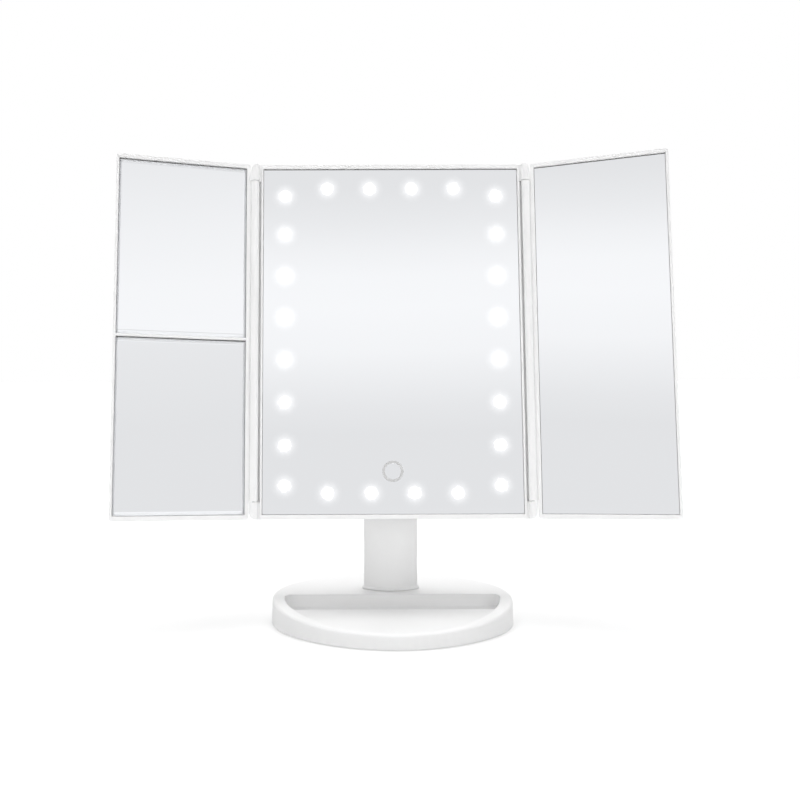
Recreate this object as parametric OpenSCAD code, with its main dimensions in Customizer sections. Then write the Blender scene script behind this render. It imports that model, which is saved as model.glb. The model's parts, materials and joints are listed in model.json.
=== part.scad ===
// Lighted trifold vanity mirror on a cosmetic-tray stand.
// +Z is up, the viewer is at -Y, the origin is on the table under the middle of the base.
// The head and both wings are drawn in the pose they are photographed in.

/* [Mirror panes] */
// Width of the centre pane
glass_w = 160; // [133:1:192]
// Height of the centre pane and of both side panels' glass
glass_h = 217; // [180:1:262]
// Thickness of every pane
glass_t = 2; // [1.6:0.1:2.4]
// Thickness of the foam tape that holds each pane
tape_t = 0.5; // [0.4:0.1:0.8]
// How far the panes lie below the front edge of their frames
pane_recess = 1.4; // [0.8:0.1:1.8]
// Top of the left panel's lower pane
lower_pane_h = 106.8; // [88:0.2:128]
// Radius of the hollow ground into the upper magnifying pane
upper_dish_r = 2060; // [1700:10:2480]
// Radius of the hollow ground into the lower magnifying pane, the stronger one
lower_dish_r = 1690; // [1500:10:2030]

/* [Panel frames] */
// Front width of the centre frame's side walls
centre_wall = 1.3; // [1:0.1:1.6]
// Front width of the side panels' walls
wing_wall = 1.6; // [1.3:0.1:2]
// Front height of the frames' top border
rim_top = 2.2; // [1.7:0.1:2.7]
// Front height of the frames' bottom border
rim_bottom = 2.7; // [2.1:0.1:3.3]
// Depth of the centre frame, without its rear housing
centre_depth = 9.5; // [9.1:0.1:11.4]
// Depth of the side panels' frames, without their backs
wing_depth = 6.6; // [6.2:0.1:8]
// Thickness of the plates that carry the panes
carrier_t = 1.4; // [1.2:0.1:2]
// Height of the bar between the left panel's two panes
cross_bar = 1.6; // [1.3:0.1:2.4]

/* [Wing hinges] */
// Radius of the hinge barrels and knuckles
barrel_r = 2.6; // [2.1:0.1:3.2]
// Height of each knuckle on the centre frame
knuckle_h = 10.4; // [8.7:0.1:12.5]
// Radius of the hinge pins
hinge_pin_r = 0.9; // [0.7:0.05:1.1]
// Length of the hinge pins
hinge_pin_l = 14; // [11.6:0.1:16.8]
// Angle of the left panel forward from flat
left_open = 14.5; // [0:0.5:90]
// Angle of the right panel forward from flat
right_open = 18.5; // [0:0.5:90]

/* [Lamps] */
// Distance of the lamp columns from the glass's side edges
led_side = 13.5; // [11.5:0.1:16]
// Distance of the lamp rows from the glass's top and bottom edges
led_inset = 12.7; // [11.5:0.1:15]
// How much nearer the middle the corner lamps lie
led_corner_drop = 4.7; // [0:0.1:5.6]
// How much nearer their neighbours in the column the corner lamps lie
led_corner_short = 2; // [0:0.1:4]
// Radius of the clear windows in the centre pane
window_r = 4.1; // [3.6:0.1:4.9]
// Height of the touch ring above the bottom of the glass
touch_z = 26; // [25:0.5:31]
// Outer radius of the touch ring
touch_r = 6.5; // [5.5:0.1:7.5]

/* [Stand] */
// Width of the oval base
base_w = 150; // [125:1:180]
// Depth of the oval base
base_d = 114; // [104:1:137]
// Height of the base's rear half
base_h = 16; // [14:0.5:19.2]
// Height of the base's front edge
base_front_h = 9.1; // [8.4:0.1:12]
// Width of the tray's rim at its sides
rim_side = 7.6; // [5:0.1:9]
// Width of the tray's rim at the front
rim_front = 2.6; // [2.2:0.1:5]
// Height of the tray's floor above the table
tray_floor = 6.8; // [6.4:0.1:7.4]
// Place of the tray's straight back wall
tray_back = 1.6; // [-4:0.1:4]
// Width of the oval column
stem_w = 34.4; // [28:0.2:42]
// Depth of the oval column
stem_d = 16; // [13.4:0.2:19.4]
// Place of the column's middle, behind the base's middle
stem_y = 17; // [15:0.2:20]
// Height of the tilt axle above the table
pivot_z = 140; // [117:1:168]
// Angle of the head back from upright
tilt = 9; // [0:0.5:30]

/* [Rear housing] */
// Thickness of the rear housing's flat plate
housing_t = 2; // [1.7:0.1:2.4]
// Height of the tilt axle above the bottom of the glass
pivot_w = 74; // [62:0.5:88]
// Radius of the tilt axle
axle_r = 2.5; // [2:0.1:3]
// Radius of the battery cells
cell_r = 7.2; // [7:0.05:7.3]
// Length of the battery cells with their tips
cell_l = 50.5; // [49.2:0.1:51]
// Thickness of the battery cover
door_t = 1.7; // [1.4:0.1:2]

/* [Hidden] */
$fn = 96;
eps = 0.01;
plastic = [0.95, 0.95, 0.95];
mirror_tone = [0.86, 0.88, 0.9];
steel = [0.7, 0.7, 0.72];

// Clearances
run_gap = 0.06;    // radial, an axle or pin that turns
pin_gap = 0.03;    // radial, a pin that stays
pane_gap = 0.2;    // round each pane
body_gap = 0.4;    // between pieces that move past each other
fit_gap = 0.1;     // between pieces that are screwed or clipped together
pass_gap = 0.3;    // radial, round a screw, a boss or a bolt's head that passes freely
swing_gap = 0.5;   // between the column's round top and the plate that swings past it
over = 1;          // how far a cut runs past what it cuts
root = 1;          // how far an arm or a boss reaches into what carries it

// Centre panel, in the head's own frame: X right, Y back from the front edge, Z up from the glass
pocket_w = glass_w + 2 * pane_gap;
centre_w = pocket_w + 2 * centre_wall;
panel_bottom = -pane_gap - rim_bottom;
panel_top = glass_h + pane_gap + rim_top;
panel_h = panel_top - panel_bottom;
corner_r = 1.6;
back_round = 1.2;
round_steps = [0:30:90];   // the angles at which a rounded back edge is drawn
shell_wall = 1.3;
pane_corner = 0.8;
lip_t = 1;
lip_h = 0.7;
pane_back = pane_recess + glass_t;
carrier_v = pane_back + tape_t;
carrier_back = carrier_v + carrier_t;
plate_back = centre_depth + housing_t;
column_r = stem_d / 2;
pivot_v = plate_back + swing_gap + column_r;

// Hinges at both sides of the centre frame
stile_gap = 1.2;
hinge_x = centre_w / 2 + stile_gap + barrel_r;
hinge_v = -0.4;
barrel_bottom = panel_bottom + knuckle_h + body_gap;
barrel_top = panel_top - knuckle_h - body_gap;
knuckle_round = 5;
arm_front = 0.5;
pin_cap = 2;

// Side panels, in their own frame: origin on the hinge axis, X outwards
wing_front = -hinge_v;
wing_in = barrel_r + body_gap;
wing_out = hinge_x - body_gap;
wing_back = wing_front + wing_depth;
wing_cover_t = 1.6;
wing_pane_v = wing_front + pane_recess;
wing_carrier_v = wing_pane_v + glass_t + tape_t;
hinge_side_extra = 0.6;
web_sink = 0.2;
web_root = 0.5;
bore_end = 1;
wing_pocket_in = wing_in + wing_wall + hinge_side_extra;
wing_pocket_out = wing_out - wing_wall;
upper_pane_z = lower_pane_h + 2 * pane_gap + cross_bar;

// Lamps: six columns, eight rows, none inside
led_columns = 6;
led_rows = 8;
led_x = glass_w / 2 - led_side;
led_pitch_x = 2 * led_x / (led_columns - 1);
led_top = glass_h / 2 - led_inset;
led_pitch_z = 2 * (led_top - led_corner_drop + led_corner_short) / (led_rows - 1);
led_centres = [
    for (s = [-1, 1], i = [1:led_columns - 2]) [(i - (led_columns - 1) / 2) * led_pitch_x, s * led_top],
    for (s = [-1, 1], i = [1:led_rows - 2]) [s * led_x, (i - (led_rows - 1) / 2) * led_pitch_z],
    for (s = [-1, 1], t = [-1, 1]) [s * led_x, t * (led_top - led_corner_drop)]];
well_r = window_r + fit_gap;
touch_well = 1.5;
flange_r = window_r + 0.9;
flange_t = 0.7;
lens_gap = 0.05;
led_v = carrier_back + flange_t + lens_gap;
led_t = 0.75;
led_size = [3.5, 2.8];
board_v = led_v + led_t;
board_t = 1;
board_half = 5.5;
stake_r = 1.2;
stake_top = 0.5;
etch = 0.15;
touch_line = 1.55;

// Control board behind the touch ring
control_size = [46, 22];
control_gap = 0.7;
control_z = glass_h / 2 - led_top + board_half + control_gap + control_size[1] / 2;
// Controller, driver and two connectors: X and Z of the lower left corner, width, height, thickness
board_parts = [[-9, 0, 6, 6, 0.9], [4, -8, 5, 4, 0.9], [-15, 6.5, 6, 4, 1.1], [9, 6.5, 6, 4, 1.1]];
post_r = 2.2;
post_x = 17;
pad_t = 0.3;
electrode_r = 4.2;
electrode_wall = 0.8;

// Screws of the rear housing
boss_r = 2.5;
boss_in = 0.9;
boss_x = pocket_w / 2 - boss_r - boss_in;
boss_end = 9;
boss_z = [boss_end, glass_h / 2, glass_h - boss_end];
screw_r = 1.1;
screw_roof = 0.7;
head_r = 2.3;
head_t = 1.1;
recess_t = 0.6;
recess_w = 0.6;
recess_l = 2.4;

// Strip with the switch and the charging socket, at the bottom of the rear housing's hump
hump_gap = 2.6;
hump_bottom = pivot_w + column_r + hump_gap;
strip_wall = 1.8;
strip_h = 7.2;
strip_z = hump_bottom + strip_wall;
strip_top = strip_z + strip_h;
strip_mid = strip_z + strip_h / 2;
strip_v = plate_back + 5.5;
strip_back = strip_v + 5;
inside_v = carrier_back + 1;
switch_slot = [7, 3];
switch_travel = 3;
switch_gap = 0.3;
socket_size = [7.5, 2.9];

// Battery bay over the strip
bay_wall = 1.4;
bay_floor = carrier_back + fit_gap + bay_wall;
cell_gap = 0.3;
cell_pitch = 2 * cell_r + cell_gap;
bay_half = 2 * cell_pitch + 0.2;
contact_t = 0.4;
contact_half = 5;
spring_l = 3.2;
spring_r = 3;
spring_wall = 0.6;
tip_r = 2.7;
tip_l = 1.2;
bay_bottom = strip_top + bay_wall;
bay_l = cell_l + spring_l + 2 * contact_t + fit_gap;
bay_top = bay_bottom + bay_l;
cell_v = bay_floor + cell_r + 0.15;
door_v = cell_v + cell_r + 0.45;
hump_back = door_v + door_t;
hump_side = 3.8;
hump_half = bay_half + hump_side;
hump_crown = 6;
hump_top = bay_top + hump_crown;
hump_r = 6;
hump_draft = 0.6;
hump_bevel = 1;
hump_wall = 2;
crown_in = 4;
strip_half = hump_half - hump_wall;

// Battery cover, which slides up and off
door_half = bay_half - 0.2;
door_bottom = bay_bottom - 2;
tongue_l = 1.2;
tongue_t = 0.9;
door_sink = 0.15;
door_short = 0.8;
grip_ribs = 5;
grip_pitch = 2.4;
grip_below = 12;
grip_size = [18, 0.5, 1];

// Tilt joint
lug_t = 6.5;
lug_r = column_r;
lug_foot = 6;
lug_reach = 3;
washer_t = 1;
washer_r = 6.5;
lug_x = stem_w / 2 + washer_t + fit_gap;
lug_out = lug_x + lug_t;
bolt_head_r = 4.2;
bolt_head_t = 2.8;
bolt_sink = 0.2;
nut_t = 2.3;

// Base
foot_t = 2;
foot_r = 7;
foot_bevel = 0.6;
wall = 2.4;
skirt_z = 0.8;
skirt_out = 0.5;
edge_r = 1.8;
side_r = 45;
slope = (base_h - base_front_h) / (tray_back + base_d / 2);
plate_t = 1.4;
tray_corner = 3.5;
tray_fillet = 1.2;
tray_wall = 2.2;
roof_z = base_h - wall;
base_boss_r = 3.4;
base_pilot_r = 1.2;
base_screw_l = 8;
// Corner spots in the right half, as distances from the base's sides and ends
side_screw = [base_w / 2 - 11, tray_back + 8];
rear_screw = [16, base_d / 2 - 12];
rear_foot = [base_w / 2 - 35, base_d / 2 - 23];
front_foot = [base_w / 2 - 36, 22 - base_d / 2];
base_screws = [for (s = [-1, 1], p = [side_screw, rear_screw]) [s * p[0], p[1]]];
foot_spots = [for (s = [-1, 1], p = [rear_foot, front_foot]) [s * p[0], p[1]]];
weight_t = 5;
weight_half = base_w / 2 - 18;
weight_gap = 2;

// Column
column_pad = 1.5;
stem_wall = 2;
stem_end_r = 4;
stem_cap = 4;
flare = 1.15;
flare_h = 2.2;
flare_foot = 0.5;
seat_gap = 0.25;
seat_in = 0.6;
stem_screw_x = 9;
stem_screw_l = 15;
stem_head_t = 1.6;
stem_head_r = 2.9;
stem_pilot_r = 1.5;
stem_boss_r = 3.2;
stem_boss_h = 18;
stem_rib = 1.4;

// ---------- outlines ----------

// Oval of four tangent arcs: half width a, half depth b, end radius r
module oval(a, b, r) {
    big = (pow(a - r, 2) + b * b - r * r) / (2 * (b - r));
    tangent_x = (a - r) * big / (big - r);
    intersection() {
        translate([0, big - b]) circle(big);
        translate([0, b - big]) circle(big);
        square([2 * tangent_x, 4 * b], center = true);
    }
    for (s = [-1, 1]) translate([s * (a - r), 0]) circle(r);
}

module base_oval(inset) {
    oval(base_w / 2 - inset, base_d / 2 - inset, side_r - inset);
}

module stem_oval(grow) {
    oval(stem_w / 2 + grow, stem_d / 2 + grow, stem_end_r + grow);
}

// Rectangle from corner a to corner b with round corners
module plate_outline(a, b, r) {
    translate([a[0] + r, a[1]]) square([b[0] - a[0] - 2 * r, b[1] - a[1]]);
    translate([a[0], a[1] + r]) square([b[0] - a[0], b[1] - a[1] - 2 * r]);
    for (x = [a[0] + r, b[0] - r], y = [a[1] + r, b[1] - r]) translate([x, y]) circle(r);
}

// ---------- placing ----------

// A flat outline in X and Z becomes a slab from depth v0 to depth v1
module slab(v0, v1) {
    translate([0, v1, 0]) rotate([90, 0, 0]) linear_extrude(v1 - v0) children();
}

// A round bar along the depth
module bar(x, z, r, v0, v1) {
    translate([x, v1, z]) rotate([90, 0, 0]) cylinder(v1 - v0, r, r);
}

// A round bar along X
module cross_rod(v, z, r, x0, x1) {
    translate([x0, v, z]) rotate([0, 90, 0]) cylinder(x1 - x0, r, r);
}

module block(a, b) {
    translate(a) cube(b - a);
}

// Cross recess in a screw's head that faces down
module cross_recess() {
    for (a = [0, 90]) rotate([0, 0, a]) translate([-recess_l / 2, -recess_w / 2, -over])
        cube([recess_l, recess_w, recess_t + over]);
}

module in_head() {
    translate([0, stem_y, pivot_z]) rotate([-tilt, 0, 0]) translate([0, -pivot_v, -pivot_w]) children();
}

module in_wing(side) {
    in_head() translate([side * hinge_x, hinge_v, 0]) mirror([side < 0 ? 1 : 0, 0, 0])
        rotate([0, 0, -(side < 0 ? left_open : right_open)]) children();
}

module at_lamps() {
    for (p = led_centres) translate([p[0], 0, glass_h / 2 + p[1]]) children();
}

// ---------- stand ----------

module behind_tray(y) {
    translate([-base_w, y]) square([2 * base_w, base_d]);
}

module before_tray() {
    translate([-base_w, tray_back - base_d]) square([2 * base_w, base_d]);
}

// One level of the base's outside: flat behind the tray's back wall, sloping down in front of it
module base_level(z, inset) {
    translate([0, 0, z]) linear_extrude(eps) intersection() {
        base_oval(inset);
        behind_tray(tray_back);
    }
    multmatrix([[1, 0, 0, 0], [0, 1, 0, 0], [0, slope, 1, z - slope * tray_back], [0, 0, 0, 1]])
        linear_extrude(eps) intersection() {
            base_oval(inset);
            before_tray();
        }
}

module base_form() {
    hull() {
        translate([0, 0, skirt_z]) linear_extrude(eps) base_oval(-skirt_out);
        for (a = [0:30:90]) base_level(base_h - eps - edge_r * (1 - sin(a)), edge_r * (1 - cos(a)));
    }
}

// The half-moon tray, seen from above
module tray_outline(inset) {
    offset(r = tray_corner - inset) offset(delta = -tray_corner) intersection() {
        oval(base_w / 2 - rim_side, base_d / 2 - rim_front, side_r - rim_side);
        before_tray();
    }
}

module tray_space() {
    hull() {
        translate([0, 0, tray_floor]) linear_extrude(eps) tray_outline(tray_fillet);
        translate([0, 0, tray_floor + tray_fillet]) linear_extrude(base_h) tray_outline(0);
    }
}

module at_base_screws() {
    for (p = base_screws) translate([p[0], p[1], 0]) children();
}

module at_stem_screws() {
    for (s = [-1, 1]) translate([s * stem_screw_x, stem_y, 0]) children();
}

module base_shell() {
    boss_z0 = foot_t + plate_t;
    color(plastic) difference() {
        union() {
            difference() {
                base_form();
                tray_space();
                // hollow under the rear half
                translate([0, 0, -over]) linear_extrude(roof_z + over) intersection() {
                    base_oval(wall);
                    behind_tray(tray_back + tray_wall);
                }
                // seat of the bottom plate
                translate([0, 0, -over]) linear_extrude(boss_z0 + over) base_oval(wall);
            }
            at_base_screws() translate([0, 0, boss_z0])
                cylinder(roof_z - boss_z0 + eps, base_boss_r, base_boss_r);
            // pad under the column
            translate([0, stem_y, roof_z - column_pad]) linear_extrude(column_pad + eps) stem_oval(1);
        }
        at_base_screws() cylinder(roof_z - root, base_pilot_r, base_pilot_r);
        at_stem_screws() cylinder(base_h + over, stem_pilot_r + fit_gap, stem_pilot_r + fit_gap);
    }
}

module base_plate() {
    color(plastic) difference() {
        translate([0, 0, foot_t]) linear_extrude(plate_t) base_oval(wall + fit_gap);
        at_base_screws() cylinder(base_h, base_pilot_r + pass_gap, base_pilot_r + pass_gap);
    }
}

// Steel plate that keeps the stand from tipping back
module base_weight() {
    color(steel) translate([0, 0, foot_t + plate_t]) difference() {
        linear_extrude(weight_t) intersection() {
            base_oval(wall + weight_gap);
            translate([-weight_half, tray_back + tray_wall + weight_gap]) square([2 * weight_half, base_d]);
        }
        translate([0, 0, -over]) {
            at_base_screws() cylinder(base_h, base_boss_r + weight_gap, base_boss_r + weight_gap);
            at_stem_screws() cylinder(base_h, head_r + weight_gap, head_r + weight_gap);
        }
    }
}

module base_feet() {
    color([0.25, 0.25, 0.26]) for (p = foot_spots) translate([p[0], p[1], 0])
        rotate_extrude() polygon([[0, 0], [foot_r - foot_bevel, 0], [foot_r, foot_bevel], [foot_r, foot_t],
            [0, foot_t]]);
}

module base_screws_set() {
    color(steel) at_base_screws() translate([0, 0, foot_t]) {
        translate([0, 0, -head_t]) difference() {
            cylinder(head_t, head_r, head_r);
            cross_recess();
        }
        translate([0, 0, -eps]) cylinder(base_screw_l, base_pilot_r - pin_gap, base_pilot_r - pin_gap);
    }
}

module stem() {
    seat = base_h + seat_gap;
    color(plastic) difference() {
        union() {
            translate([0, stem_y, seat]) linear_extrude(pivot_z - seat) stem_oval(0);
            translate([0, stem_y, base_h]) linear_extrude(seat_gap + eps) stem_oval(-seat_in);
            hull() {
                translate([0, stem_y, seat]) linear_extrude(flare_foot) stem_oval(flare);
                translate([0, stem_y, base_h + flare_h]) linear_extrude(eps) stem_oval(0);
            }
            translate([0, stem_y, pivot_z]) cross_rod(0, 0, column_r, -stem_w / 2, stem_w / 2);
        }
        difference() {
            translate([0, stem_y, base_h - over])
                linear_extrude(pivot_z - column_r - stem_cap - base_h + over) stem_oval(-stem_wall);
            at_stem_screws() cylinder(base_h + stem_boss_h, stem_boss_r, stem_boss_r);
            // rib that joins the two bosses to the column's walls
            translate([-stem_w / 2, stem_y - stem_rib / 2, 0])
                cube([stem_w, stem_rib, base_h + stem_boss_h]);
        }
        at_stem_screws() cylinder(base_h + stem_screw_l, stem_pilot_r, stem_pilot_r);
        translate([0, stem_y, pivot_z]) cross_rod(0, 0, axle_r + run_gap, -stem_w, stem_w);
    }
}

module stem_screws() {
    color(steel) at_stem_screws() translate([0, 0, roof_z - column_pad]) {
        translate([0, 0, -stem_head_t]) difference() {
            cylinder(stem_head_t, stem_head_r, stem_head_r);
            cross_recess();
        }
        translate([0, 0, -eps]) cylinder(stem_screw_l, stem_pilot_r - pin_gap, stem_pilot_r - pin_gap);
    }
}

// ---------- tilt joint ----------

module tilt_axle() {
    color(steel) in_head() {
        cross_rod(pivot_v, pivot_w, axle_r, -lug_out + root, lug_out - bolt_sink);
        cross_rod(pivot_v, pivot_w, bolt_head_r, -lug_out + bolt_sink, -lug_out + bolt_head_t);
    }
}

module tilt_nut() {
    color(steel) in_head() difference() {
        translate([lug_out - bolt_head_t, pivot_v, pivot_w]) rotate([0, 90, 0])
            cylinder(nut_t, bolt_head_r, bolt_head_r, $fn = 6);
        cross_rod(pivot_v, pivot_w, axle_r + pin_gap, 0, 2 * lug_out);
    }
}

module tilt_washers() {
    inside = lug_x - fit_gap / 2 - washer_t;
    color([0.3, 0.3, 0.32]) in_head() for (s = [0, 1]) mirror([s, 0, 0]) difference() {
        cross_rod(pivot_v, pivot_w, washer_r, inside, inside + washer_t);
        cross_rod(pivot_v, pivot_w, axle_r + run_gap, inside - over, inside + washer_t + over);
    }
}

// ---------- centre panel ----------

module panel_outline(inset = 0) {
    plate_outline([-centre_w / 2 + inset, panel_bottom + inset], [centre_w / 2 - inset, panel_top - inset],
        corner_r - inset);
}

// One hinge knuckle with the arm that carries it, at the right-hand bottom
module knuckle() {
    arm_x = centre_w / 2 - root;
    knuckle_top = panel_bottom + knuckle_h;
    round_x = hinge_x + barrel_r - knuckle_round;
    difference() {
        union() {
            translate([hinge_x, hinge_v, panel_bottom]) cylinder(knuckle_h, barrel_r, barrel_r);
            block([arm_x, arm_front, panel_bottom], [hinge_x, hinge_v + barrel_r, knuckle_top]);
            block([arm_x, arm_front, panel_bottom], [hinge_x - barrel_r, centre_depth, knuckle_top]);
        }
        // rounded lower outside corner
        slab(-2 * barrel_r, centre_depth + over) difference() {
            translate([round_x, panel_bottom - over]) square(knuckle_round + over);
            translate([round_x, panel_bottom + knuckle_round]) circle(knuckle_round);
        }
        translate([hinge_x, hinge_v, panel_bottom + pin_cap])
            cylinder(knuckle_h, hinge_pin_r + pin_gap, hinge_pin_r + pin_gap);
    }
}

// Wall behind a barrel that closes the gap beside it
module barrel_channel() {
    block([centre_w / 2 - root, hinge_v + barrel_r + body_gap, panel_bottom + knuckle_round],
        [hinge_x, centre_depth, panel_top - knuckle_round]);
}

module four_knuckles() {
    for (s = [0, 1]) mirror([s, 0, 0]) {
        barrel_channel();
        knuckle();
        translate([0, 0, panel_bottom + panel_top]) mirror([0, 0, 1]) knuckle();
    }
}

module control_posts(r, v1) {
    for (s = [-1, 1]) bar(s * post_x, control_z, r, carrier_back - eps, v1);
}

module stakes(r, v0, v1) {
    for (s = [-1, 1], t = [-2, 0, 2]) bar(s * led_x, glass_h / 2 + t * led_pitch_z, r, v0, v1);
}

module center_frame() {
    inner_h = panel_h - 2 * shell_wall;
    stake_end = board_v + board_t + stake_top;
    color(plastic) in_head() difference() {
        union() {
            difference() {
                slab(0, centre_depth) panel_outline();
                slab(-over, carrier_v) translate([-pocket_w / 2, -pane_gap])
                    square([pocket_w, glass_h + 2 * pane_gap]);
                slab(carrier_back, centre_depth + over)
                    translate([-pocket_w / 2, panel_bottom + shell_wall]) square([pocket_w, inner_h]);
                at_lamps() bar(0, 0, well_r, carrier_v - over, carrier_back + over);
                bar(0, touch_z, touch_r + touch_well, carrier_v - over, carrier_back + over);
            }
            for (s = [-1, 1], z = boss_z) bar(s * boss_x, z, boss_r, carrier_back - eps, centre_depth);
            control_posts(post_r, board_v);
            control_posts(stake_r, stake_end);
            stakes(stake_r, carrier_back - eps, stake_end);
            four_knuckles();
        }
        for (s = [-1, 1], z = boss_z)
            bar(s * boss_x, z, screw_r, carrier_v + screw_roof, centre_depth + over);
    }
}

module center_mirror() {
    color(mirror_tone) in_head() difference() {
        slab(pane_recess, pane_back) plate_outline([-glass_w / 2, 0], [glass_w / 2, glass_h], pane_corner);
        // clear windows and the touch ring, etched through the silver at the back
        at_lamps() bar(0, 0, window_r, pane_back - etch, pane_back + over);
        difference() {
            bar(0, touch_z, touch_r, pane_back - etch, pane_back + over);
            bar(0, touch_z, touch_r - touch_line, pane_back - over, pane_back + 2 * over);
        }
    }
}

module center_tape() {
    strip_w = 12;
    side_in = 18;
    strip_x = led_x - side_in;
    end_in = 3 * led_inset;
    cross_z = 30;
    color([0.9, 0.9, 0.88]) in_head() slab(pane_back, carrier_v) {
        for (s = [-1, 1]) translate([s * strip_x - strip_w / 2, end_in])
            square([strip_w, glass_h - 2 * end_in]);
        for (s = [-1, 1]) translate([-strip_x, glass_h / 2 + s * cross_z - strip_w / 2])
            square([2 * strip_x, strip_w]);
    }
}

module led_lenses() {
    color([1, 1, 1]) in_head() at_lamps() {
        bar(0, 0, window_r, pane_back, carrier_back + eps);
        bar(0, 0, flange_r, carrier_back, carrier_back + flange_t);
    }
}

module leds() {
    color([1, 0.95, 0.7]) in_head() at_lamps() block([-led_size[0] / 2, led_v, -led_size[1] / 2],
        [led_size[0] / 2, led_v + led_t, led_size[1] / 2]);
}

module led_board() {
    color([0.93, 0.95, 0.93]) in_head() difference() {
        translate([0, 0, glass_h / 2]) slab(board_v, board_v + board_t) difference() {
            square([2 * (led_x + board_half), 2 * (led_top + board_half)], center = true);
            square([2 * (led_x - board_half), 2 * (led_top - board_half)], center = true);
        }
        stakes(stake_r + fit_gap, board_v - over, board_v + board_t + over);
        for (s = [-1, 1], z = boss_z)
            bar(s * boss_x, z, boss_r + pass_gap, board_v - over, board_v + board_t + over);
    }
}

module touch_pad() {
    color([0.8, 0.5, 0.3]) in_head() bar(0, touch_z, touch_r, pane_back, pane_back + pad_t);
}

// Spring electrode between the touch pad and the control board
module touch_spring() {
    color(steel) in_head() difference() {
        bar(0, touch_z, electrode_r, pane_back + pad_t, board_v);
        bar(0, touch_z, electrode_r - electrode_wall, pane_back, board_v + over);
    }
}

module control_board() {
    board_back = board_v + board_t;
    color([0.15, 0.4, 0.25]) in_head() {
        difference() {
            slab(board_v, board_back) translate([-control_size[0] / 2, control_z - control_size[1] / 2])
                square(control_size);
            control_posts(stake_r + fit_gap, board_back + over);
        }
        for (p = board_parts) block([p[0], board_back - eps, control_z + p[1]],
            [p[0] + p[2], board_back + p[4], control_z + p[1] + p[3]]);
    }
}

// ---------- rear housing ----------

module hump_level(v, inset) {
    slab(v, v + eps) plate_outline([-hump_half + inset, hump_bottom + inset * 0.5],
        [hump_half - inset, hump_top - inset], hump_r - inset);
}

module lug_outline() {
    top = hump_bottom + lug_reach;
    translate([pivot_v, pivot_w]) circle(lug_r);
    polygon([[plate_back - root, pivot_w - lug_r - lug_foot], [pivot_v, pivot_w - lug_r],
        [pivot_v, pivot_w], [pivot_v, top], [plate_back - root, top]]);
    translate([pivot_v, pivot_w]) square([lug_r, top - pivot_w]);
}

// The inside of a panel's walls, from its lower left corner, made smaller all round for a locating lip
module lip_square(corner, inset) {
    width = -2 * corner[0];
    translate([corner[0] + inset, corner[1] + inset])
        square([width - 2 * inset, panel_bottom + panel_top - 2 * (corner[1] + inset)]);
}

module rear_housing() {
    slot = switch_slot / 2;
    mouth = socket_size / 2 + [fit_gap, fit_gap];
    color(plastic) in_head() difference() {
        union() {
            hull() for (a = round_steps) slab(centre_depth, plate_back - back_round * (1 - sin(a)))
                panel_outline(back_round * (1 - cos(a)));
            // locating lip inside the frame
            slab(centre_depth - lip_h, centre_depth + eps) difference() {
                lip_square([-pocket_w / 2, panel_bottom + shell_wall], fit_gap);
                lip_square([-pocket_w / 2, panel_bottom + shell_wall], fit_gap + lip_t);
                for (s = [-1, 1], z = boss_z) translate([s * boss_x, z]) circle(boss_r + fit_gap);
            }
            hull() {
                hump_level(plate_back - root, 0);
                hump_level(hump_back - hump_bevel - eps, hump_draft);
                hump_level(hump_back - eps, hump_draft + hump_bevel);
            }
            for (s = [0, 1]) mirror([s, 0, 0]) translate([lug_x, 0, 0])
                rotate([90, 0, 90]) linear_extrude(lug_t) lug_outline();
            // the bay's tub inside the frame
            slab(bay_floor - bay_wall, centre_depth + eps)
                translate([-bay_half - bay_wall, bay_bottom - bay_wall])
                    square([2 * (bay_half + bay_wall), bay_top - bay_bottom + 2 * bay_wall]);
        }
        // battery bay, opened to the back
        block([-bay_half, bay_floor, bay_bottom], [bay_half, door_v + eps, bay_top]);
        // seat of the cover, open at the top so that it slides out upwards
        block([-door_half - fit_gap, door_v - fit_gap, door_bottom - fit_gap],
            [door_half + fit_gap, hump_back + over, hump_top + over]);
        block([-door_half - tongue_l - 2 * fit_gap, door_v - fit_gap, door_bottom - fit_gap],
            [door_half + tongue_l + 2 * fit_gap, door_v + tongue_t + fit_gap, hump_top + over]);
        // strip for the switch and the socket, open to the inside
        block([-strip_half, inside_v, strip_z], [strip_half, strip_back, strip_top]);
        block([-hump_half - over, strip_v - slot[0], strip_mid - slot[1]],
            [-strip_half + over, strip_v + slot[0], strip_mid + slot[1]]);
        block([strip_half - over, strip_v - mouth[0], strip_mid - mouth[1]],
            [hump_half + over, strip_v + mouth[0], strip_mid + mouth[1]]);
        // hollow of the hump above the bay
        block([-strip_half + crown_in, inside_v, bay_top + bay_wall],
            [strip_half - crown_in, door_v - hump_wall, hump_top - hump_wall]);
        // axle bore with seats for the bolt's head and nut
        cross_rod(pivot_v, pivot_w, axle_r + pin_gap, -2 * lug_out, 2 * lug_out);
        for (s = [0, 1]) mirror([s, 0, 0])
            cross_rod(pivot_v, pivot_w, bolt_head_r + pass_gap, lug_out - bolt_head_t, lug_out + over);
        for (s = [-1, 1], z = boss_z) {
            bar(s * boss_x, z, screw_r + pass_gap, centre_depth - over, plate_back + over);
            bar(s * boss_x, z, head_r + pass_gap, plate_back - head_t - fit_gap, plate_back + over);
        }
    }
}

module housing_screws() {
    color(steel) in_head() for (s = [-1, 1], z = boss_z) {
        bar(s * boss_x, z, screw_r - pin_gap, carrier_back + screw_roof, plate_back - head_t);
        difference() {
            bar(s * boss_x, z, head_r, plate_back - head_t - fit_gap, plate_back - fit_gap);
            translate([s * boss_x, plate_back - fit_gap, z]) rotate([90, 0, 0]) cross_recess();
        }
    }
}

// The place of one cell, from its spring end; the cells stand head to tail by turns
module in_bay(i) {
    translate([(i - 1.5) * cell_pitch, cell_v, i % 2 == 0 ? bay_bottom : bay_top])
        mirror([0, 0, i % 2]) children();
}

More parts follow.
